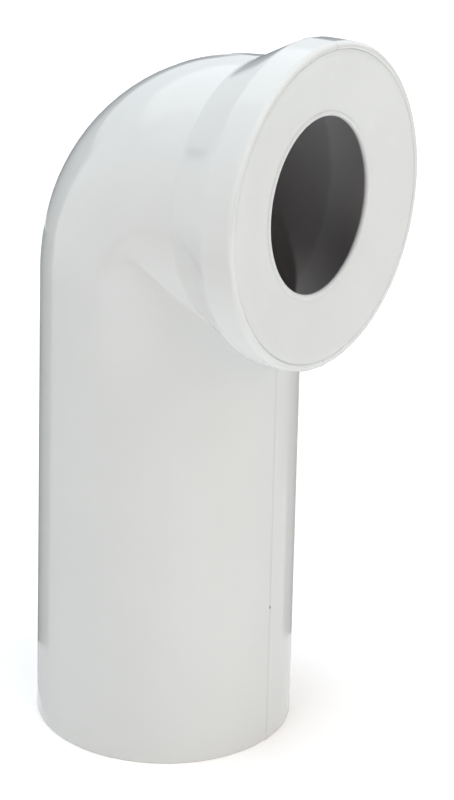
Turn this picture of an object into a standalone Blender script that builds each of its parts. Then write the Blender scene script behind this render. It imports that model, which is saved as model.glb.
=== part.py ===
# Toilet connection bend: a moulded 90 degree drain bend with a push-in lip seal.
# Metres, +Z up. The origin is the centre of the spigot's end, and the outlet points along +X.

import math

import bmesh
import bpy
from mathutils import Vector

# Driving dimensions of the moulding
SPIGOT_OD = 0.110        # outside of the spigot at its open end, drain size DN 100
SPIGOT_DRAFT = 0.002     # how much smaller the radius is at the bend, for release from the mould
WALL = 0.003             # pipe wall
AXIS_HEIGHT = 0.234      # spigot end to the outlet axis
BEND_PIVOT = 0.0386      # from either pipe axis to the line that the back half bends about
CREASE_FADE = 0.022      # offset past the pipe axis at which the crotch crease is sharp
CROTCH_FILLET = 0.0015   # radius left in the sharp crease
NECK_LENGTH = 0.002      # straight pipe between the bend and the flare
FLARE_LENGTH = 0.0211    # conical part between the pipe and the rim
FLARE_RISE = 0.0102      # how far the rim stands out from the pipe
RIM_WIDTH = 0.0133       # cylindrical band of the rim
RIM_WALL = 0.003         # socket wall round the seal
RIM_ROUND = 0.0012       # rounded front edge of the rim
SOCKET_DEPTH = 0.011     # rim face to the seat of the seal
SEAT_WIDTH = 0.0035      # radial width of that seat

# Driving dimensions of the seal and its support ring
SEAL_HOLE_D = 0.0675     # hole in the relaxed seal
SEAL_DISH = 0.0048       # how far the hole lies behind the rim's face
EDGE_RECESS = 0.0003     # how far the seal's outer edge lies behind the rim's face
FACE_T = 0.003           # seal face at its outer edge
LIP_T = 0.002            # seal face near the hole
SEAL_ROUND = 0.0005      # rounded outer edge of the face
BEAD_R = 0.0012          # bead round the hole
BEAD_STEP = 0.0006       # how far the bead stands above the face
SLEEVE_T = 0.0026        # sleeve wall under its ribs
RIB_COUNT = 3            # gripping ribs round the sleeve
RIB_HEIGHT = 0.0006
RIB_RAMP = 0.55          # ramp, crest and drop of a rib, as shares of its pitch
RIB_CREST = 0.20
RIB_DROP = 0.15
BAND_LENGTH = 0.0025     # smooth band of the sleeve in front of the ribs
HOOK_WIDTH = 0.0013      # hook at the back of the sleeve that keeps the support ring
HOOK_HEIGHT = 0.0009
RING_T = 0.0022          # support ring wall

CLEARANCE = 0.0003       # gap between pieces that touch

# Fineness of the round shapes
SEGMENTS = 64            # round a pipe or a turned piece
BEND_STEPS = 12          # along the bend
ROUND_STEPS = 4          # in a small rounded edge
BEAD_STEPS = 8           # round the bead
CONE_STEP = 0.001        # least run of a cone past the crotch
SMOOTH_ANGLE = math.radians(35)
MERGE_DISTANCE = 1e-6

# Derived sizes of the moulding, with x counted from the spigot's axis
END_RADIUS = SPIGOT_OD / 2
NECK_RADIUS = END_RADIUS - SPIGOT_DRAFT
BORE_RADIUS = NECK_RADIUS - WALL
FLARE_START = BEND_PIVOT + NECK_LENGTH
FLARE_END = FLARE_START + FLARE_LENGTH
FLARE_SLOPE = FLARE_RISE / FLARE_LENGTH
RIM_REACH = FLARE_END + RIM_WIDTH
RIM_RADIUS = NECK_RADIUS + FLARE_RISE
POCKET_RADIUS = RIM_RADIUS - RIM_WALL
SEAT_RADIUS = POCKET_RADIUS - SEAT_WIDTH
SEAT_X = RIM_REACH - SOCKET_DEPTH
OUTLET = Vector((RIM_REACH, 0.0, AXIS_HEIGHT))

# The inside cone runs parallel to the flare, one wall under it, from the bore to the seat
CONE_SHIFT = WALL * math.sqrt(1 + FLARE_SLOPE ** 2) - WALL
CONE_START = FLARE_START + CONE_SHIFT / FLARE_SLOPE
CONE_END = CONE_START + (SEAT_RADIUS - BORE_RADIUS) / FLARE_SLOPE

# Derived sizes of the seal, with x counted from the rim's face
SEAL_RADIUS = POCKET_RADIUS - CLEARANCE
SLEEVE_BORE = SEAL_RADIUS - RIB_HEIGHT - SLEEVE_T
SEAL_BACK = -SOCKET_DEPTH + CLEARANCE
GROOVE_BACK = SEAL_BACK + HOOK_WIDTH
GROOVE_FRONT = -EDGE_RECESS - FACE_T


def clear_scene():
    for old in list(bpy.data.objects):
        bpy.data.objects.remove(old, do_unlink=True)


def plain_material(name, colour, roughness):
    material = bpy.data.materials.new(name)
    material.use_nodes = True
    shader = material.node_tree.nodes["Principled BSDF"]
    shader.inputs["Base Color"].default_value = (*colour, 1.0)
    shader.inputs["Roughness"].default_value = roughness
    shader.inputs["Metallic"].default_value = 0.0
    return material


def mesh_object(name, bm):
    # Closes a bmesh into a linked object with outward faces and smooth round sides
    bmesh.ops.recalc_face_normals(bm, faces=bm.faces)
    mesh = bpy.data.meshes.new(name)
    bm.to_mesh(mesh)
    bm.free()
    mesh.shade_smooth()
    mesh.set_sharp_from_angle(angle=SMOOTH_ANGLE)
    obj = bpy.data.objects.new(name, mesh)
    bpy.context.scene.collection.objects.link(obj)
    return obj


def turned(name, profile):
    # Spins a closed outline of (x, r) points about the X axis
    bm = bmesh.new()
    points = [bm.verts.new((x, 0.0, r)) for x, r in profile]
    edges = [bm.edges.new(pair) for pair in zip(points, points[1:] + points[:1])]
    bmesh.ops.spin(bm, geom=points + edges, cent=(0, 0, 0), axis=(1, 0, 0),
                   angle=2 * math.pi, steps=SEGMENTS, use_merge=True)
    bmesh.ops.remove_doubles(bm, verts=bm.verts, dist=MERGE_DISTANCE)
    return mesh_object(name, bm)


def arc(centre_x, centre_r, radius, start, end, steps):
    # Points on an arc in the (x, r) plane, angles counted from +r towards +x
    angles = [start + (end - start) * i / steps for i in range(steps + 1)]
    return [(centre_x + radius * math.sin(a), centre_r + radius * math.cos(a)) for a in angles]


def corner_radius(offset):
    # Corner of the pipe line at this offset from the axis, with the crotch side positive.
    # The back half bends about one pivot, and the crotch half closes smoothly to a sharp mitre.
    if offset <= 0:
        return BEND_PIVOT - offset
    t = min(1.0, offset / CREASE_FADE)
    return (1 - t) ** 2 * ((1 + 2 * t) * BEND_PIVOT - offset) + t ** 2 * (3 - 2 * t) * CROTCH_FILLET


def rounded_corner(before, corner, after):
    # Conic from one point to another: a true quarter circle where the corner is square
    weight = math.sqrt(0.5)
    points = []
    for i in range(BEND_STEPS + 1):
        t = i / BEND_STEPS
        shares = ((1 - t) ** 2, 2 * weight * t * (1 - t), t ** 2)
        whole = before * shares[0] + corner * shares[1] + after * shares[2]
        points.append(whole / sum(shares))
    return points


def on_outlet(x, radius, angle):
    # Point round the outlet axis, with angle 0 at the crotch side
    return Vector((x, radius * math.sin(angle), AXIS_HEIGHT - radius * math.cos(angle)))


def pipe_line(angle, end_radius, radius, cone_start, cone_end, cone_radius):
    # One line along a pipe surface: up the spigot, round the corner, and out along the outlet
    # to the wide end of its cone. In the crotch the spigot's side runs straight into the cone.
    slope = (cone_radius - radius) / (cone_end - cone_start)

    def radius_at(x):
        return radius + slope * max(0.0, x - cone_start)

    offset = radius * math.cos(angle)
    side = radius * math.sin(angle)
    upper = -1.0 if offset < 0 else 1.0

    def beside(x):
        return Vector((x, side, AXIS_HEIGHT - upper * math.sqrt(radius_at(x) ** 2 - side ** 2)))

    fillet = corner_radius(offset)
    corner = beside(offset)
    after = beside(offset + fillet)
    line = [Vector((end_radius * math.cos(angle), end_radius * math.sin(angle), 0.0))]
    line += rounded_corner(corner - Vector((0, 0, fillet)), corner, after)
    # The line meets the cone at its own angle and has turned to the asked one at the wide end
    x = max(cone_start, after.x + CONE_STEP)
    meet = math.atan2(side, AXIS_HEIGHT - after.z)
    turn = (angle - meet + math.pi) % (2 * math.pi) - math.pi
    share = (x - after.x) / (cone_end - after.x)
    line.append(on_outlet(x, radius_at(x), meet + turn * share))
    line.append(on_outlet(cone_end, cone_radius, angle))
    return line


def elbow_line(angle):
    # Once round the wall: outside to the rim, over its edge, and back through the socket and bore
    outside = pipe_line(angle, END_RADIUS, NECK_RADIUS, FLARE_START, FLARE_END, RIM_RADIUS)
    inside = pipe_line(angle, END_RADIUS - WALL, BORE_RADIUS, CONE_START, CONE_END, SEAT_RADIUS)
    rim = arc(RIM_REACH - RIM_ROUND, RIM_RADIUS - RIM_ROUND, RIM_ROUND, 0.0, math.pi / 2, ROUND_STEPS)
    rim += [(RIM_REACH, POCKET_RADIUS), (SEAT_X, POCKET_RADIUS), (SEAT_X, SEAT_RADIUS)]
    return outside + [on_outlet(x, r, angle) for x, r in rim] + inside[::-1]


def make_elbow_body(material):
    bm = bmesh.new()
    lines = []
    for k in range(SEGMENTS):
        points = elbow_line(2 * math.pi * k / SEGMENTS)
        lines.append([bm.verts.new(point) for point in points])
    for line, other in zip(lines, lines[1:] + lines[:1]):
        for i in range(len(line)):
            bm.faces.new((line[i - 1], other[i - 1], other[i], line[i]))
    body = mesh_object("elbow_body", bm)
    body.data.materials.append(material)
    return body


def sleeve_ribs():
    # Barbed ribs from the back of the sleeve forward: a long ramp, a crest and a short drop
    valley = SEAL_RADIUS - RIB_HEIGHT
    pitch = (-EDGE_RECESS - BAND_LENGTH - SEAL_BACK) / RIB_COUNT
    points = []
    for i in range(RIB_COUNT):
        start = SEAL_BACK + i * pitch
        crest_start = start + pitch * RIB_RAMP
        crest_end = crest_start + pitch * RIB_CREST
        points += [(start, valley), (crest_start, SEAL_RADIUS),
                   (crest_end, SEAL_RADIUS), (crest_end + pitch * RIB_DROP, valley)]
    points.append((-EDGE_RECESS - BAND_LENGTH, valley))
    points.append((-EDGE_RECESS - BAND_LENGTH + RIB_HEIGHT, SEAL_RADIUS))
    return points


def seal_profile():
    hole = SEAL_HOLE_D / 2
    edge = arc(-EDGE_RECESS - SEAL_ROUND, SEAL_RADIUS - SEAL_ROUND, SEAL_ROUND,
               0.0, math.pi / 2, ROUND_STEPS)
    # The bead turns from where the face meets it, over the hole's edge, to its back
    face_angle = math.asin((BEAD_R - BEAD_STEP) / BEAD_R)
    bead = arc(-SEAL_DISH - BEAD_R, hole + BEAD_R, BEAD_R, face_angle, 1.5 * math.pi, BEAD_STEPS)
    land = SLEEVE_BORE - RING_T - 2 * CLEARANCE
    return [*sleeve_ribs(), *edge, *bead,
            (-SEAL_DISH - BEAD_STEP - LIP_T, hole + 2 * BEAD_R),
            (GROOVE_FRONT, land), (GROOVE_FRONT, SLEEVE_BORE),
            (GROOVE_BACK, SLEEVE_BORE), (GROOVE_BACK, SLEEVE_BORE - HOOK_HEIGHT),
            (SEAL_BACK, SLEEVE_BORE - HOOK_HEIGHT)]


def make_seal(parent, material):
    seal = turned("lip_seal", seal_profile())
    seal.parent = parent
    seal.data.materials.append(material)
    return seal


def make_support_ring(parent, material):
    outside = SLEEVE_BORE - CLEARANCE
    back = GROOVE_BACK + CLEARANCE
    front = GROOVE_FRONT - CLEARANCE
    profile = [(back, outside), (front, outside), (front, outside - RING_T), (back, outside - RING_T)]
    ring = turned("seal_support_ring", profile)
    ring.parent = parent
    ring.data.materials.append(material)
    return ring


def main():
    clear_scene()
    make_elbow_body(plain_material("white_moulding", (0.80, 0.81, 0.81), 0.22))
    # The seal and its ring slide out along the outlet axis together
    outlet_axis = bpy.data.objects.new("outlet_axis", None)
    outlet_axis.location = OUTLET
    bpy.context.scene.collection.objects.link(outlet_axis)
    make_seal(outlet_axis, plain_material("white_rubber", (0.70, 0.70, 0.69), 0.55))
    make_support_ring(outlet_axis, plain_material("grey_ring", (0.45, 0.46, 0.47), 0.40))


main()
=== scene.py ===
import math

import bpy
from mathutils import Matrix, Vector


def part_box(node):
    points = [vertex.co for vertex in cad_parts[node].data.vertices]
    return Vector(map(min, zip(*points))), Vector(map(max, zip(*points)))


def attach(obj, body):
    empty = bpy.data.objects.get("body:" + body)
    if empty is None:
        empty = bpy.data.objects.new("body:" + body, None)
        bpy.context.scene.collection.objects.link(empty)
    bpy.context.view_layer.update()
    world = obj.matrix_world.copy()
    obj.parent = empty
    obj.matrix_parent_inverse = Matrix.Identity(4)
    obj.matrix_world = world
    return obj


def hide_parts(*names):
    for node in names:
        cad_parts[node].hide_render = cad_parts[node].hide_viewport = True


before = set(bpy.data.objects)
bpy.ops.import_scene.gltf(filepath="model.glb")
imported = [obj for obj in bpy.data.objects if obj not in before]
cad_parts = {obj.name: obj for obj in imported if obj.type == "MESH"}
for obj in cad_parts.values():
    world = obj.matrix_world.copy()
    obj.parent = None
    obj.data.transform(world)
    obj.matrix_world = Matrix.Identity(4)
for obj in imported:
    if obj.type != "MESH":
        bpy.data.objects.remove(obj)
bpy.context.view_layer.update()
print("frame loaded:", ", ".join(sorted(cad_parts)))

mm = 0.001
fullTurn = 2 * math.pi
quarterTurn = math.pi / 2
weldGap = 0.001 * mm   # points this close are one point

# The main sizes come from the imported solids.
shellLow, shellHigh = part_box("elbow_body")
sealLow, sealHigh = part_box("lip_seal")
ringLow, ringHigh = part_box("seal_support_ring")
spigotRadius = -shellLow.x
rimRadius = shellHigh.y
rimReach = shellHigh.x
axisHeight = shellHigh.z - rimRadius


def deselectAll():
    bpy.ops.object.select_all(action="DESELECT")


def namePiece(name):
    piece = bpy.context.active_object
    piece.name = piece.data.name = name
    return piece


def workOn(piece):
    deselectAll()
    piece.select_set(True)
    bpy.context.view_layer.objects.active = piece


def selectEdges(piece, test):
    # selects the edges whose both ends pass the test, and leaves the piece in edit mode
    workOn(piece)
    mesh = piece.data
    for part in (mesh.polygons, mesh.edges, mesh.vertices):
        part.foreach_set("select", [False] * len(part))
    for edge in mesh.edges:
        if all(test(mesh.vertices[i].co) for i in edge.vertices):
            edge.select = True
            for i in edge.vertices:
                mesh.vertices[i].select = True
    bpy.ops.object.mode_set(mode="EDIT")
    bpy.ops.mesh.select_mode(type="EDGE")


def roundEdges(piece, test, width, segments):
    selectEdges(piece, test)
    bpy.ops.mesh.bevel(offset=width, offset_type="OFFSET", segments=segments, affect="EDGES",
                       clamp_overlap=False)
    bpy.ops.object.mode_set(mode="OBJECT")


def closeAndSmooth(piece, angle):
    workOn(piece)
    bpy.ops.object.mode_set(mode="EDIT")
    bpy.ops.mesh.select_all(action="SELECT")
    bpy.ops.mesh.remove_doubles(threshold=weldGap)
    bpy.ops.mesh.normals_make_consistent(inside=False)
    bpy.ops.object.mode_set(mode="OBJECT")
    bpy.ops.object.shade_smooth_by_angle(angle=math.radians(angle))


# Elbow shell: the pipe moulding with its bend, flare and socket
elbow = {
    "wall": 3.0 * mm,
    "bendPivot": 38.6 * mm,      # from either pipe axis to the line that the back half bends about
    "creaseFade": 22 * mm,       # offset past the axis at which the crotch crease is sharp
    "crotchFillet": 1.5 * mm,
    "neckLength": 2.0 * mm,
    "neckBlend": 1.1 * mm,       # half length of the soft turn from the neck to the flare
    "flareLength": 21.1 * mm,
    "flareRise": 10.2 * mm,
    "flareRound": 0.9 * mm,      # soft edge between the flare and the rim band
    "rimWall": 3.0 * mm,
    "rimRound": 2.0 * mm,        # the rim's front is nearly a full round
    "mouthRound": 0.7 * mm,
    "socketDepth": 11 * mm,
    "seatWidth": 3.5 * mm,
    "seatRound": 0.4 * mm,
    "footRound": 0.45 * mm,      # broken edges of the spigot's end
    "columns": 192,
    "bendRows": 26,
    "rowsBelowNib": [0.0, 20 * mm, 40 * mm],
    "rowsAboveNib": [80 * mm, 100 * mm, 120 * mm, 135 * mm],
    "boreRows": [0.0, 60 * mm, 120 * mm],
    "nibSteps": 2,               # rows in half of the nib
    "neckSteps": 3,              # rows in half of the soft turn, outside and in the bore
    "boreNeckSteps": 2,
    "flareSteps": 4,
    "stepPastBend": 0.12 * mm,   # least spacing of the rows where the crotch runs into the flare
    "seamTop": 0.17 * mm,        # half width of the mould seam's crest
    "seamFoot": 0.42 * mm,       # half width of its base
    "seamEase": 0.672 * mm,      # the columns next to the base lie this far from the middle
    "seamHeight": 0.13 * mm,
    "seamOnRim": 0.5,            # share of the height that is left at the rim's front
    "nibHeight": 61.6 * mm,      # place of the flash nib up the spigot
    "nibRise": 0.35 * mm,
    "nibLength": 0.9 * mm,
    "nibShadeLength": 0.54 * mm,        # half length of the painted shade on the nib
    "seamShadeShare": 0.16,            # share of painted shade along the seam, which is full on the nib
    "seamColumns": 2,            # columns of painted shade on each side of a seam's middle
    "smoothAngle": 40,           # degrees, and sharper turns stay edges
}

neckRadius = rimRadius - elbow["flareRise"]
boreRadius = neckRadius - elbow["wall"]
flareStart = elbow["bendPivot"] + elbow["neckLength"]
flareEnd = flareStart + elbow["flareLength"]
pocketRadius = rimRadius - elbow["rimWall"]
seatRadius = pocketRadius - elbow["seatWidth"]
seatReach = rimReach - elbow["socketDepth"]
flareSlope = elbow["flareRise"] / elbow["flareLength"]
coneShift = elbow["wall"] * (math.sqrt(1 + flareSlope ** 2) - 1)
coneStart = flareStart + coneShift / flareSlope      # the inside cone lies one wall under the flare
coneEnd = coneStart + (seatRadius - boreRadius) / flareSlope


def columnAngles():
    # even columns, with those next to the two mould seams drawn in to the seam's edges
    columns = elbow["columns"]
    angles = [fullTurn * i / columns for i in range(columns)]
    edges = (elbow["seamTop"], elbow["seamFoot"], elbow["seamEase"])
    for middle in (0, columns // 2):
        for step, edge in enumerate(edges, start=1):
            for side in (-1, 1):
                column = (middle + side * step) % columns
                angles[column] = fullTurn * middle / columns + side * edge / neckRadius
    return angles


def seamRise(angle, height):
    # how far the mould seam stands out of the pipe there, with its nib on the outlet side
    turn = min(angle % math.pi, math.pi - angle % math.pi)
    across = turn * neckRadius
    share = (elbow["seamFoot"] - across) / (elbow["seamFoot"] - elbow["seamTop"])
    share = max(0.0, min(1.0, share))
    rise = elbow["seamHeight"]
    if abs(height - elbow["nibHeight"]) < elbow["nibLength"] and math.cos(angle) > 0:
        rise += elbow["nibRise"] * (1 - abs(height - elbow["nibHeight"]) / elbow["nibLength"])
    return rise * share


def cornerRadius(offset):
    # the lines turn about one pivot on the back, and the turn closes to a crease on the crotch side
    pivot = elbow["bendPivot"]
    if offset <= 0:
        return pivot - offset
    t = min(1.0, offset / elbow["creaseFade"])
    return (1 - t) ** 2 * ((1 + 2 * t) * pivot - offset) + t ** 2 * (3 - 2 * t) * elbow["crotchFillet"]


def roundedCorner(before, corner, after, rows):
    weight = math.sqrt(0.5)   # a true quarter circle where the corner is square
    points = []
    for i in range(rows + 1):
        t = i / rows
        shares = ((1 - t) ** 2, 2 * weight * t * (1 - t), t ** 2)
        points.append((before * shares[0] + corner * shares[1] + after * shares[2]) / sum(shares))
    return points


def onOutlet(x, radius, angle):
    return Vector((x, radius * math.sin(angle), axisHeight - radius * math.cos(angle)))


def softRamp(x, blend):
    # 0 before, x after, with a soft turn of that half length
    if x <= -blend:
        return 0.0
    if x >= blend:
        return x
    return (x + blend) ** 2 / (4 * blend)


def pipeLine(angle, endRadius, radius, start, end, blend, heights, stops, rise):
    # one line along a pipe wall, from the spigot's end round the bend to the end of the cone
    def radiusAt(x):
        return radius + rise(0) + flareSlope * softRamp(x - start, blend)

    offset = (radius + rise(0)) * math.cos(angle)
    side = (radius + rise(0)) * math.sin(angle)
    under = -1.0 if offset < 0 else 1.0

    def beside(x):
        return Vector((x, side, axisHeight - under * math.sqrt(radiusAt(x) ** 2 - side ** 2)))

    fillet = cornerRadius(offset)
    corner = beside(offset)
    after = beside(offset + fillet)
    bendStart = corner - Vector((0, 0, fillet))
    line = []
    for height in heights:
        here = endRadius + (radius - endRadius) * height / bendStart.z + rise(height)
        line.append(Vector((here * math.cos(angle), here * math.sin(angle), height)))
    line += roundedCorner(bendStart, corner, after, elbow["bendRows"])
    meet = math.atan2(side, axisHeight - after.z)
    turn = (angle - meet + math.pi) % fullTurn - math.pi
    for step, stop in enumerate(stops, start=1):
        x = max(stop, after.x + step * elbow["stepPastBend"])
        line.append(onOutlet(x, radiusAt(x), meet + turn * (x - after.x) / (end - after.x)))
    line.append(onOutlet(end, radiusAt(end), angle))
    return line


def evenSteps(middle, reach, steps):
    # places from one reach before the middle to one reach after it
    return [middle + reach * k / steps for k in range(-steps, steps + 1)]


def outsideLine(angle):
    nibRows = evenSteps(elbow["nibHeight"], elbow["nibLength"], elbow["nibSteps"])
    heights = elbow["rowsBelowNib"] + nibRows + elbow["rowsAboveNib"]
    blend = elbow["neckBlend"]
    flareSteps = elbow["flareSteps"]
    stops = evenSteps(flareStart, blend, elbow["neckSteps"])
    stops += [flareStart + (flareEnd - flareStart) * k / flareSteps for k in range(1, flareSteps)]
    return pipeLine(angle, spigotRadius, neckRadius, flareStart, flareEnd, blend, heights, stops,
                    lambda height: seamRise(angle, height))


def socketLine(angle):
    return [onOutlet(x, radius, angle) for x, radius in (
        (rimReach, rimRadius + seamRise(angle, 0) * elbow["seamOnRim"]), (rimReach, pocketRadius),
        (seatReach, pocketRadius), (seatReach, seatRadius))]


def boreLine(angle):
    # from the socket's seat back round the bend and down to the spigot's end
    blend = elbow["neckBlend"]
    stops = evenSteps(coneStart, blend, elbow["boreNeckSteps"])
    line = pipeLine(angle, spigotRadius - elbow["wall"], boreRadius, coneStart, coneEnd, blend,
                    elbow["boreRows"], stops, lambda height: 0.0)
    return line[::-1]


def stackRings(name, columns, rows):
    # a tube of rings one unit apart, joined back onto itself, ready to be pulled into shape
    deselectAll()
    bpy.ops.mesh.primitive_circle_add(vertices=columns, radius=1.0, location=(0, 0, 0))
    piece = namePiece(name)
    bpy.ops.object.mode_set(mode="EDIT")
    bpy.ops.mesh.select_all(action="SELECT")
    for row in range(rows - 1):
        bpy.ops.mesh.extrude_region_move(TRANSFORM_OT_translate={"value": (0, 0, 1)})
    bpy.ops.object.mode_set(mode="OBJECT")
    selectEdges(piece, lambda place: place.z < 0.5 or place.z > rows - 1.5)   # the first and last ring
    bpy.ops.mesh.bridge_edge_loops()
    bpy.ops.object.mode_set(mode="OBJECT")
    return piece


def makeElbowShell():
    columns, seamColumns = elbow["columns"], elbow["seamColumns"]
    lines = [outsideLine(angle) + socketLine(angle) + boreLine(angle) for angle in columnAngles()]
    shell = stackRings("elbowShell", columns, len(lines[0]))
    boreRow = len(lines[0]) - len(boreLine(0))
    inBore = [0.0] * len(shell.data.vertices)
    seamShade = [0.0] * len(shell.data.vertices)
    for vertex in shell.data.vertices:
        row = round(vertex.co.z)
        column = round(math.atan2(vertex.co.y, vertex.co.x) / fullTurn * columns) % columns
        # the bore's points are marked, for its painted shade and its rougher finish
        if row >= boreRow:
            inBore[vertex.index] = 1.0
        # the seams' columns get a share of painted shade, full on the nib
        elif (column + seamColumns) % (columns // 2) <= 2 * seamColumns:
            outletSide = column < columns // 4 or column > 3 * columns // 4
            onNib = outletSide and abs(lines[column][row].z - elbow["nibHeight"]) < elbow["nibShadeLength"]
            seamShade[vertex.index] = 1.0 if onNib else elbow["seamShadeShare"]
        vertex.co = lines[column][row]
    for name, values in (("inBore", inBore), ("seamShade", seamShade)):
        shell.data.attributes.new(name, "FLOAT", "POINT").data.foreach_set("value", values)
    closeAndSmooth(shell, elbow["smoothAngle"])
    planeGap, ringGap = 0.01 * mm, 0.1 * mm   # how near to a ring's plane and radius a point has to lie

    def onRing(x, radius):
        return lambda place: (abs(place.x - x) < planeGap and
                              abs(math.hypot(place.y, place.z - axisHeight) - radius) < ringGap)

    for x, radius, width, segments in (
            (flareEnd, rimRadius, elbow["flareRound"], 3),
            (rimReach, rimRadius, elbow["rimRound"], 8),
            (rimReach, pocketRadius, elbow["mouthRound"], 5),
            (seatReach, seatRadius, elbow["seatRound"], 3)):
        roundEdges(shell, onRing(x, radius), width, segments)
    roundEdges(shell, lambda place: abs(place.z) < weldGap, elbow["footRound"], segments=3)
    closeAndSmooth(shell, elbow["smoothAngle"])
    return shell


elbowShell = makeElbowShell()
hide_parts("elbow_body")
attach(elbowShell, "elbow")
print("elbow shell:", len(elbowShell.data.polygons), "faces")


# Lip seal: a soft ring whose face dishes in to a beaded hole, with a ribbed sleeve that grips the socket.
# Places along the outlet are measured from the rim's face.
seal = {
    "holeRadius": 33.75 * mm,
    "holeTaller": 0.019,         # the soft hole has set slightly oval: taller and narrower by these shares
    "holeNarrower": 0.045,
    "holeShift": 1.2 * mm,       # and to one side
    "dish": 4.8 * mm,
    "edgeRecess": 0.3 * mm,
    "edgeRound": 0.3 * mm,
    "bandGap": 0.04 * mm,        # the front band all but touches the socket
    "faceThickness": 3.0 * mm,
    "lipThickness": 2.0 * mm,
    "beadRadius": 1.2 * mm,
    "beadStep": 0.6 * mm,        # how far the bead stands out of the face
    "sleeve": 2.6 * mm,
    "ribs": 3,
    "ribRise": 0.6 * mm,
    "ribRamp": 0.55,             # shares of one rib's length
    "ribCrest": 0.20,
    "ribDrop": 0.15,
    "bandLength": 2.5 * mm,
    "hookWidth": 1.3 * mm,
    "hookRise": 0.9 * mm,
    "ringRoom": 2.8 * mm,        # groove depth for the support ring
    "turnSteps": 192,
    "faceSteps": 8,
    "edgeSteps": 5,
    "beadSteps": 14,
    "faceSag": 0.25 * mm,        # the soft face hollows a little between its edge and its bead
    "cornerRound": 0.12 * mm,    # broken corners of the ribs and the hook
    "cornerAngle": 35,           # the least turn, in degrees, that counts as such a corner
}

sealRadius = sealHigh.y
bandRadius = pocketRadius - seal["bandGap"]
sealBack = sealLow.x - rimReach
sleeveBore = sealRadius - seal["ribRise"] - seal["sleeve"]
grooveBack = sealBack + seal["hookWidth"]
grooveFront = -seal["edgeRecess"] - seal["faceThickness"]


def arcPoints(centre, radius, start, end, steps):
    # centre and points are (along the outlet, out from its axis)
    # an angle runs from outwards to forwards
    return [(centre[0] + radius * math.sin(start + (end - start) * i / steps),
             centre[1] + radius * math.cos(start + (end - start) * i / steps)) for i in range(steps + 1)]


def sleeveRibs():
    valley = sealRadius - seal["ribRise"]
    start, end = sealBack, -seal["edgeRecess"] - seal["bandLength"]
    pitch = (end - start) / seal["ribs"]
    points = []
    for rib in range(seal["ribs"]):
        foot = start + rib * pitch
        crest = foot + seal["ribRamp"] * pitch
        crestEnd = crest + seal["ribCrest"] * pitch
        points += [(foot, valley), (crest, sealRadius), (crestEnd, sealRadius),
                   (crestEnd + seal["ribDrop"] * pitch, valley)]
    points += [(end, valley), (end + seal["ribRise"], bandRadius)]
    return points


def sealOutline():
    hole, bead = seal["holeRadius"], seal["beadRadius"]
    edgeRound = seal["edgeRound"]
    edgeMiddle = (-seal["edgeRecess"] - edgeRound, bandRadius - edgeRound)
    edge = arcPoints(edgeMiddle, edgeRound, 0, quarterTurn, seal["edgeSteps"])
    beadMiddle = (-seal["dish"] - bead, hole + bead)
    beadStart = math.asin((bead - seal["beadStep"]) / bead)
    beadArc = arcPoints(beadMiddle, bead, beadStart, 3 * quarterTurn, seal["beadSteps"])
    points = sleeveRibs() + edge
    for i in range(1, seal["faceSteps"]):
        t = i / seal["faceSteps"]
        sag = seal["faceSag"] * 4 * t * (1 - t)
        points.append((edge[-1][0] + (beadArc[0][0] - edge[-1][0]) * t - sag,
                       edge[-1][1] + (beadArc[0][1] - edge[-1][1]) * t))
    points += beadArc
    land = sleeveBore - seal["hookRise"]
    points += [(-seal["dish"] - seal["beadStep"] - seal["lipThickness"], hole + 2 * bead),
               (grooveFront, sleeveBore - seal["ringRoom"]), (grooveFront, sleeveBore),
               (grooveBack, sleeveBore), (grooveBack, land), (sealBack, land)]
    return points


turnedSmooth = 30   # degrees, and sharper turns stay edges


def turnPiece(name, outline, steps):
    # a closed outline, spun about the outlet axis
    deselectAll()
    bpy.ops.mesh.primitive_circle_add(vertices=len(outline), radius=1.0, location=(0, 0, 0))
    piece = namePiece(name)
    for vertex, (along, out) in zip(piece.data.vertices, outline):
        vertex.co = (rimReach + along, 0, axisHeight + out)
    bpy.ops.object.mode_set(mode="EDIT")
    bpy.ops.mesh.select_all(action="SELECT")
    bpy.ops.mesh.spin(steps=steps, angle=fullTurn, center=(0, 0, axisHeight), axis=(1, 0, 0))
    bpy.ops.object.mode_set(mode="OBJECT")
    closeAndSmooth(piece, turnedSmooth)
    return piece


def softenCorners(piece, width, angle):
    workOn(piece)
    bpy.ops.object.modifier_add(type="BEVEL")
    corner = piece.modifiers[-1]
    corner.width = width
    corner.segments = 2
    corner.limit_method = "ANGLE"
    corner.angle_limit = math.radians(angle)
    bpy.ops.object.modifier_apply(modifier=corner.name)
    closeAndSmooth(piece, turnedSmooth)


def makeLipSeal():
    ring = turnPiece("sealRing", sealOutline(), seal["turnSteps"])
    softenCorners(ring, seal["cornerRound"], seal["cornerAngle"])
    for vertex in ring.data.vertices:
        across, up = vertex.co.y, vertex.co.z - axisHeight
        share = (sealRadius - math.hypot(across, up)) / (sealRadius - seal["holeRadius"])
        share = max(0.0, min(1.0, share)) ** 2
        vertex.co.y = across * (1 - seal["holeNarrower"] * share) + seal["holeShift"] * share
        vertex.co.z = axisHeight + up * (1 + seal["holeTaller"] * share)
    return ring


lipSeal = makeLipSeal()
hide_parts("lip_seal")
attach(lipSeal, "seal")
print("lip seal:", len(lipSeal.data.polygons), "faces")


# Support ring: the stiff band in the seal's groove
ringBand = {
    "thickness": 2.2 * mm,
    "round": 0.35 * mm,
    "roundSteps": 3,
    "turnSteps": 128,
}


def bandOutline():
    back, front = ringLow.x - rimReach, ringHigh.x - rimReach
    outer = ringHigh.y
    inner = outer - ringBand["thickness"]
    soft = ringBand["round"]
    corners = ((front - soft, outer - soft), (front - soft, inner + soft),
               (back + soft, inner + soft), (back + soft, outer - soft))
    points = []
    for turn, corner in enumerate(corners):
        start = turn * quarterTurn
        points += arcPoints(corner, soft, start, start + quarterTurn, ringBand["roundSteps"])
    return points


supportRing = turnPiece("supportRing", bandOutline(), ringBand["turnSteps"])
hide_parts("seal_support_ring")
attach(supportRing, "seal")
print("support ring:", len(supportRing.data.polygons), "faces")


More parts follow.
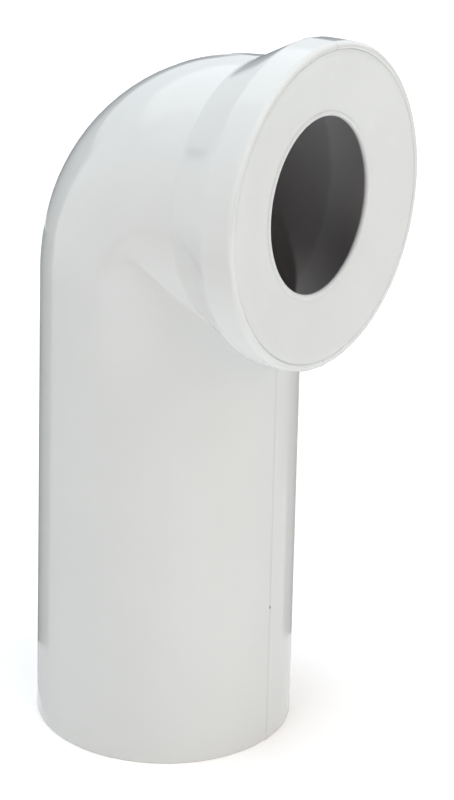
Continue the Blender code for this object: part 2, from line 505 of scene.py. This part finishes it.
# Materials
def addNode(tree, kind, **settings):
    node = tree.nodes.new(kind)
    for name, value in settings.items():
        setattr(node, name, value)
    return node


def newGroup(name, inputs, outputs):
    tree = bpy.data.node_groups.new(name, "ShaderNodeTree")
    for socketName, kind, value in inputs:
        socket = tree.interface.new_socket(socketName, in_out="INPUT", socket_type=kind)
        if value is not None:
            socket.default_value = value
    for socketName, kind in outputs:
        tree.interface.new_socket(socketName, in_out="OUTPUT", socket_type=kind)
    return tree, addNode(tree, "NodeGroupInput"), addNode(tree, "NodeGroupOutput")


def wire(tree, start, end):
    tree.links.new(start, end)


def setOrWire(tree, socket, value):
    if isinstance(value, (int, float)):
        socket.default_value = value
    elif isinstance(value, tuple):
        socket.default_value = (*value, 1.0)
    else:
        wire(tree, value, socket)


def mathNode(tree, operation, first, second):
    node = addNode(tree, "ShaderNodeMath", operation=operation)
    setOrWire(tree, node.inputs[0], first)
    setOrWire(tree, node.inputs[1], second)
    return node.outputs[0]


def noise(tree, place, scale, detail=2.0, roughness=0.5):
    node = addNode(tree, "ShaderNodeTexNoise")
    node.inputs["Detail"].default_value = detail
    node.inputs["Roughness"].default_value = roughness
    wire(tree, place, node.inputs["Vector"])
    setOrWire(tree, node.inputs["Scale"], scale)
    return node.outputs["Fac"]


def mapTo(tree, value, low, high, fromLow=0.3, fromHigh=0.7):
    # most of a noise lies between 0.3 and 0.7
    node = addNode(tree, "ShaderNodeMapRange", clamp=True)
    node.inputs["From Min"].default_value = fromLow
    node.inputs["From Max"].default_value = fromHigh
    node.inputs["To Min"].default_value = low
    node.inputs["To Max"].default_value = high
    wire(tree, value, node.inputs["Value"])
    return node.outputs["Result"]


def stretched(tree, place, turn, scale):
    node = addNode(tree, "ShaderNodeMapping")
    node.inputs["Rotation"].default_value = turn
    node.inputs["Scale"].default_value = scale
    wire(tree, place, node.inputs["Vector"])
    return node.outputs["Vector"]


mouldSkin = {
    "toneDetail": 3.0,
    "toneRoughness": 0.55,
    "flowStretch": (1.0, 1.0, 0.12),     # flow marks run up the pipe
    "flowScale": 60.0,
    "grainDetail": 1.0,
}


def makeSkinGroup():
    # the skin of a moulding: slow tone changes, flow marks along it, and a fine pebbled height
    tree, start, end = newGroup("mouldedSkin", [
        ("Place", "NodeSocketVector", None),
        ("Tone Scale", "NodeSocketFloat", 22.0),
        ("Grain Scale", "NodeSocketFloat", 900.0),
    ], [("Tone", "NodeSocketFloat"), ("Flow", "NodeSocketFloat"), ("Grain", "NodeSocketFloat")])
    place = start.outputs["Place"]
    tone = noise(tree, place, start.outputs["Tone Scale"], mouldSkin["toneDetail"],
                 mouldSkin["toneRoughness"])
    wire(tree, tone, end.inputs["Tone"])
    along = stretched(tree, place, (0, 0, 0), mouldSkin["flowStretch"])
    wire(tree, noise(tree, along, mouldSkin["flowScale"]), end.inputs["Flow"])
    grain = noise(tree, place, start.outputs["Grain Scale"], mouldSkin["grainDetail"])
    wire(tree, grain, end.inputs["Grain"])
    return tree


handling = {
    "patchScale": 34.0,
    "patchFade": (0.50, 0.75),           # noise values between which a patch of hairlines comes in
    "hairTurns": ((0.5, 0.3, 0.7), (1.9, 1.1, 0.2)),
    "hairStretch": (1.0, 110.0, 110.0),
    "hairScale": 45.0,
    "hairDetail": 1.0,
    "hairFade": (0.68, 0.78),
    "speckScale": 420.0,
    "speckFade": (0.05, 0.10),           # a speck's core and edge, in shares of its cell
    "rareScale": 190.0,
    "rareLevel": 0.70,                   # specks lie only where the noise is above this
}


def makeMarksGroup():
    # handling marks: hairlines in two directions, kept to patches, and a few fine specks of dust
    tree, start, end = newGroup("handlingMarks", [
        ("Place", "NodeSocketVector", None),
        ("Scratches", "NodeSocketFloat", 0.5),
        ("Dust", "NodeSocketFloat", 0.5),
    ], [("Scratch", "NodeSocketFloat"), ("Speck", "NodeSocketFloat")])
    place = start.outputs["Place"]
    patch = mapTo(tree, noise(tree, place, handling["patchScale"]), 0.0, 1.0, *handling["patchFade"])
    hairs = []
    for turn in handling["hairTurns"]:
        across = stretched(tree, place, turn, handling["hairStretch"])
        hair = noise(tree, across, handling["hairScale"], handling["hairDetail"])
        hairs.append(mapTo(tree, hair, 0.0, 1.0, *handling["hairFade"]))
    scratch = mathNode(tree, "MULTIPLY", mathNode(tree, "MAXIMUM", *hairs), patch)
    wire(tree, mathNode(tree, "MULTIPLY", scratch, start.outputs["Scratches"]), end.inputs["Scratch"])
    cells = addNode(tree, "ShaderNodeTexVoronoi", feature="F1")
    cells.inputs["Scale"].default_value = handling["speckScale"]
    wire(tree, place, cells.inputs["Vector"])
    dot = mapTo(tree, cells.outputs["Distance"], 1.0, 0.0, *handling["speckFade"])
    rareNoise = noise(tree, place, handling["rareScale"], detail=0.0)
    rare = mathNode(tree, "GREATER_THAN", rareNoise, handling["rareLevel"])
    speck = mathNode(tree, "MULTIPLY", dot, rare)
    wire(tree, mathNode(tree, "MULTIPLY", speck, start.outputs["Dust"]), end.inputs["Speck"])
    return tree


skinGroup = makeSkinGroup()
marksGroup = makeMarksGroup()


def newMaterial(name):
    material = bpy.data.materials.new(name)
    material.use_nodes = True
    tree = material.node_tree
    shader = tree.nodes["Principled BSDF"]
    place = addNode(tree, "ShaderNodeTexCoord").outputs["Object"]
    return material, tree, shader, place


def useGroup(tree, group, place, values):
    node = addNode(tree, "ShaderNodeGroup", node_tree=group)
    wire(tree, place, node.inputs["Place"])
    for name, value in values.items():
        node.inputs[name].default_value = value
    return node.outputs


def blendColours(tree, share, first, second):
    node = addNode(tree, "ShaderNodeMix", data_type="RGBA")
    factor, a, b = node.inputs[0], node.inputs[6], node.inputs[7]   # the colour sockets of this node
    for socket, value in ((factor, share), (a, first), (b, second)):
        setOrWire(tree, socket, value)
    return node.outputs[2]


def bumpFrom(tree, height, shader, strength, depth):
    bump = addNode(tree, "ShaderNodeBump")
    bump.inputs["Strength"].default_value = strength
    bump.inputs["Distance"].default_value = depth
    wire(tree, height, bump.inputs["Height"])
    wire(tree, bump.outputs["Normal"], shader.inputs["Normal"])


whitePipe = {
    "light": (0.728, 0.732, 0.728),
    "dark": (0.706, 0.711, 0.709),
    "scuffed": (0.640, 0.642, 0.640),
    "bore": (0.535, 0.515, 0.522),   # painted shade inside the bore, a darker colour than the polished outside
    "seam": (0.400, 0.395, 0.380),   # painted shade along the mould seam and on its nib
    "dust": (0.560, 0.550, 0.530),
    "smooth": 0.09,
    "dull": 0.14,
    "boreDuller": 0.32,
    "scuffDuller": 0.3,
    "toneShare": 0.6,
    "flowShare": 0.4,
    "grainStrength": 0.10,
    "grainDepth": 0.06 * mm,
    "marks": {"Scratches": 0.25, "Dust": 0.35},
}


def makeWhitePipe():
    material, tree, shader, place = newMaterial("whiteMoulding")
    skin = useGroup(tree, skinGroup, place, {})
    marks = useGroup(tree, marksGroup, place, whitePipe["marks"])
    tone = mathNode(tree, "ADD", mathNode(tree, "MULTIPLY", skin["Tone"], whitePipe["toneShare"]),
                    mathNode(tree, "MULTIPLY", skin["Flow"], whitePipe["flowShare"]))
    colour = blendColours(tree, mapTo(tree, tone, 0.0, 1.0), whitePipe["light"], whitePipe["dark"])
    colour = blendColours(tree, marks["Scratch"], colour, whitePipe["scuffed"])
    colour = blendColours(tree, marks["Speck"], colour, whitePipe["dust"])
    # painted shade along the mould seams and on the nib
    seamShade = addNode(tree, "ShaderNodeAttribute", attribute_name="seamShade").outputs["Fac"]
    colour = blendColours(tree, seamShade, colour, whitePipe["seam"])
    # painted shade: the bore's inside is darkened
    inBore = addNode(tree, "ShaderNodeAttribute", attribute_name="inBore").outputs["Fac"]
    colour = blendColours(tree, inBore, colour, whitePipe["bore"])
    wire(tree, colour, shader.inputs["Base Color"])
    gloss = mapTo(tree, tone, whitePipe["smooth"], whitePipe["dull"])
    for mask, duller in ((inBore, "boreDuller"), (marks["Scratch"], "scuffDuller")):
        gloss = mathNode(tree, "ADD", gloss, mathNode(tree, "MULTIPLY", mask, whitePipe[duller]))
    wire(tree, gloss, shader.inputs["Roughness"])
    bumpFrom(tree, skin["Grain"], shader, whitePipe["grainStrength"], whitePipe["grainDepth"])
    return material


softWhite = {
    "light": (0.712, 0.722, 0.716),
    "dark": (0.688, 0.697, 0.691),
    "dust": (0.540, 0.530, 0.510),
    "smooth": 0.36,
    "dull": 0.48,
    "grainStrength": 0.25,
    "grainDepth": 0.06 * mm,
    "skin": {"Tone Scale": 40.0, "Grain Scale": 1800.0},
    "marks": {"Dust": 0.5},
}


def makeSoftWhite():
    material, tree, shader, place = newMaterial("whiteRubber")
    skin = useGroup(tree, skinGroup, place, softWhite["skin"])
    marks = useGroup(tree, marksGroup, place, softWhite["marks"])
    colour = blendColours(tree, mapTo(tree, skin["Tone"], 0.0, 1.0), softWhite["light"], softWhite["dark"])
    colour = blendColours(tree, marks["Speck"], colour, softWhite["dust"])
    wire(tree, colour, shader.inputs["Base Color"])
    wire(tree, mapTo(tree, skin["Tone"], softWhite["smooth"], softWhite["dull"]), shader.inputs["Roughness"])
    bumpFrom(tree, skin["Grain"], shader, softWhite["grainStrength"], softWhite["grainDepth"])
    return material


stiffGrey = {
    "light": (0.46, 0.47, 0.48),
    "dark": (0.42, 0.43, 0.44),
    "smooth": 0.36,
    "dull": 0.48,
    "grainStrength": 0.3,
    "grainDepth": 0.05 * mm,
    "skin": {"Tone Scale": 60.0, "Grain Scale": 1400.0},
    "marks": {"Scratches": 0.5},
}


def makeStiffGrey():
    material, tree, shader, place = newMaterial("greyRing")
    skin = useGroup(tree, skinGroup, place, stiffGrey["skin"])
    marks = useGroup(tree, marksGroup, place, stiffGrey["marks"])
    colour = blendColours(tree, mapTo(tree, skin["Tone"], 0.0, 1.0), stiffGrey["light"], stiffGrey["dark"])
    colour = blendColours(tree, marks["Scratch"], colour, stiffGrey["dark"])
    wire(tree, colour, shader.inputs["Base Color"])
    wire(tree, mapTo(tree, skin["Flow"], stiffGrey["smooth"], stiffGrey["dull"]), shader.inputs["Roughness"])
    bumpFrom(tree, skin["Grain"], shader, stiffGrey["grainStrength"], stiffGrey["grainDepth"])
    return material


finishes = ((elbowShell, makeWhitePipe()), (lipSeal, makeSoftWhite()), (supportRing, makeStiffGrey()))
for piece, material in finishes:
    piece.data.materials.clear()
    piece.data.materials.append(material)
print("materials set")


# Camera, floor and light
view = {
    "azimuth": math.radians(36.018),
    "elevation": math.radians(20.160),
    "roll": math.radians(1.681),
    "distance": 0.84592,
    "lens": 92.168,
    "clipStart": 0.01,
    "aim": Vector((0.01926, 0.01400, 0.14007)),
}


def makeCamera():
    camera = bpy.data.objects.new("camera", bpy.data.cameras.new("camera"))
    bpy.context.collection.objects.link(camera)
    camera.data.lens = view["lens"]
    camera.data.clip_start = view["clipStart"]
    turn = (Matrix.Rotation(view["azimuth"], 4, "Z") @
            Matrix.Rotation(quarterTurn - view["elevation"], 4, "X") @
            Matrix.Rotation(view["roll"], 4, "Z"))
    back = turn.to_3x3() @ Vector((0, 0, 1))
    camera.matrix_world = Matrix.Translation(view["aim"] + back * view["distance"]) @ turn
    bpy.context.scene.camera = camera


makeCamera()

studio = {
    "aim": Vector((0, 0, 0.14)),
    "floorSize": 16.0,
    "floorColour": (0.94, 0.94, 0.94),
    "floorRoughness": 0.9,
    "floorGlow": (0.15, 0.12, 0.11),   # lifts the floor to white where it is seen, and keeps the shadow
    "cardSteps": 12,
    "floorShadeInner": 0.06,          # a sheet round the foot that only reflections see, with painted shade of the floor there
    "floorShadeOuter": 0.55,
    "floorShadeLift": 0.0003,
    "floorShadeLeft": 0.67,           # tones of that painted shade on the left and the right of the foot
    "floorShadeRight": 0.87,
}

# turns are in degrees from the camera's side to the right, and rises in degrees above the floor
lamps = {
    "topLight": {"turn": -90, "rise": 82, "reach": 2.0, "sun": 2.53, "spread": 46,
                 "colour": (0.92, 1.00, 1.05)},
    "frontLamp": {"turn": -32, "rise": 8, "reach": 1.3, "power": 4.00, "size": 0.7,
                  "colour": (1.10, 1.00, 0.90)},
    "rightLamp": {"turn": 70, "rise": 15, "reach": 2.0, "power": 13.8, "size": 1.6,
                  "colour": (1.09, 1.00, 0.90)},
    "backLamp": {"turn": 175, "rise": 10, "reach": 2.0, "power": 7.0, "size": 1.6,
                 "colour": (1.00, 1.00, 1.00)},
    "highLamp": {"turn": 60, "rise": 60, "reach": 2.0, "power": 11.7, "size": 1.6,
                 "colour": (0.98, 1.00, 1.00)},
}

# upright cards beside the pipe, as a studio sets up to draw the edges of a white thing,
# with walls a metre away and a bright panel high above them
# the span is in degrees from straight behind the pipe towards that side
cards = {
    "leftNearCard": {"side": -1, "reach": 0.052, "span": (12, 73), "heights": (0, 0.20), "tone": 0.13},
    "leftFarCard": {"side": -1, "reach": 0.200, "span": (42, 59), "heights": (0, 0.095), "tone": 0.05},
    "leftPanel": {"side": -1, "reach": 0.200, "span": (59, 130), "heights": (0, 0.14), "tone": 0.72},
    "rightNearCard": {"side": 1, "reach": 0.068, "span": (12, 56), "heights": (0, 0.30), "tone": 0.28},
    "rightFarCard": {"side": 1, "reach": 0.260, "span": (50, 66), "heights": (0, 0.22), "tone": 0.62},
    "leftWall": {"side": -1, "reach": 1.0, "span": (54, 180), "heights": (0, 0.60), "tone": 1.25},
    "leftBackWall": {"side": -1, "reach": 1.0, "span": (22, 54), "heights": (0, 0.45), "tone": 0.25},
    "backWall": {"side": -1, "reach": 1.0, "span": (-55, 22), "heights": (0, 0.45), "tone": 0.08},
    "rightWall": {"side": 1, "reach": 1.0, "span": (55, 180), "heights": (0, 0.45), "tone": 0.0},
    "highPanel": {"side": -1, "reach": 1.0, "span": (-10, 70), "heights": (0.90, 2.20), "tone": 1.8},
}

cameraTurn = Matrix.Rotation(view["azimuth"], 3, "Z")


def seenRays(tree):
    # 1 for rays from the camera and for those that mirror or let through the stage
    rays = addNode(tree, "ShaderNodeLightPath").outputs
    return mathNode(tree, "MAXIMUM", rays["Is Camera Ray"],
                    mathNode(tree, "MAXIMUM", rays["Is Glossy Ray"], rays["Is Transmission Ray"]))


def makeFloor():
    deselectAll()
    bpy.ops.mesh.primitive_plane_add(size=studio["floorSize"], location=(0, 0, 0))
    floor = namePiece("floor")
    material = bpy.data.materials.new("floorPaper")
    material.use_nodes = True
    tree = material.node_tree
    shader = tree.nodes["Principled BSDF"]
    shader.inputs["Base Color"].default_value = (*studio["floorColour"], 1.0)
    shader.inputs["Roughness"].default_value = studio["floorRoughness"]
    shader.inputs["Specular IOR Level"].default_value = 0.0
    shader.inputs["Emission Color"].default_value = (*studio["floorGlow"], 1.0)
    wire(tree, seenRays(tree), shader.inputs["Emission Strength"])
    floor.data.materials.append(material)


def makeLamp(name, lamp):
    turn, rise = math.radians(lamp["turn"]), math.radians(lamp["rise"])
    level = math.cos(rise)
    way = cameraTurn @ Vector((math.sin(turn) * level, -math.cos(turn) * level, math.sin(rise)))
    light = bpy.data.lights.new(name, "SUN" if "sun" in lamp else "AREA")
    light.color = lamp["colour"]
    if "sun" in lamp:
        light.energy = lamp["sun"]
        light.angle = math.radians(lamp["spread"])
    else:
        light.energy = lamp["power"]
        light.shape = "DISK"
        light.size = lamp["size"]
    holder = bpy.data.objects.new(name, light)
    bpy.context.collection.objects.link(holder)
    holder.location = studio["aim"] + way * lamp["reach"]
    holder.rotation_euler = (-way).to_track_quat("-Z", "Y").to_euler()
    holder.visible_glossy = False


def onlyReflected(card, tone):
    # gloss sees it, and it neither shows nor blocks light
    material = bpy.data.materials.new(card.name)
    material.use_nodes = True
    tree = material.node_tree
    glow = addNode(tree, "ShaderNodeEmission")
    glow.inputs["Color"].default_value = (tone, tone, tone, 1.0)
    wire(tree, glow.outputs["Emission"], tree.nodes["Material Output"].inputs["Surface"])
    card.data.materials.append(material)
    card.visible_camera = card.visible_diffuse = card.visible_shadow = False


def newSheet(name):
    # a unit strip in steps along X, ready to be curved
    deselectAll()
    bpy.ops.mesh.primitive_grid_add(x_subdivisions=studio["cardSteps"], y_subdivisions=1, size=1.0,
                                    location=(0, 0, 0))
    return namePiece(name)


def makeCard(name, card):
    outwards = cameraTurn @ Vector((card["side"], 0, 0))
    behind = cameraTurn @ Vector((0, 1, 0))
    bottom, top = card["heights"]
    start, end = card["span"]
    sheet = newSheet(name)
    for vertex in sheet.data.vertices:
        share = vertex.co.x + 0.5
        angle = math.radians(start * (1 - share) + end * share)
        way = behind * math.cos(angle) + outwards * math.sin(angle)
        height = top if vertex.co.y > 0 else bottom
        vertex.co = outwards * spigotRadius + way * card["reach"] + Vector((0, 0, height))
    onlyReflected(sheet, card["tone"])


# painted shade of the floor round the foot, darker on the left, as reflections see it
def makeFloorShade(name, side, tone):
    inner, outer = studio["floorShadeInner"], studio["floorShadeOuter"]
    shadeSheet = newSheet(name)
    for vertex in shadeSheet.data.vertices:
        angle = math.pi * (vertex.co.x + 0.5)
        reach = outer if vertex.co.y > 0 else inner
        place = Vector((side * reach * math.sin(angle), reach * math.cos(angle), studio["floorShadeLift"]))
        vertex.co = cameraTurn @ place
    onlyReflected(shadeSheet, tone)


def makeWorld():
    # all the light comes from the lamps, and what is seen past the floor is white
    world = bpy.data.worlds.new("studioBack")
    bpy.context.scene.world = world
    world.use_nodes = True
    tree = world.node_tree
    back = tree.nodes["Background"]
    back.inputs["Color"].default_value = (1, 1, 1, 1)
    wire(tree, seenRays(tree), back.inputs["Strength"])


makeFloor()
for name, lamp in lamps.items():
    makeLamp(name, lamp)
for name, card in cards.items():
    makeCard(name, card)
makeFloorShade("leftFloorShade", -1, studio["floorShadeLeft"])
makeFloorShade("rightFloorShade", 1, studio["floorShadeRight"])
makeWorld()
bpy.context.scene.view_settings.view_transform = "Standard"
print("stage set")
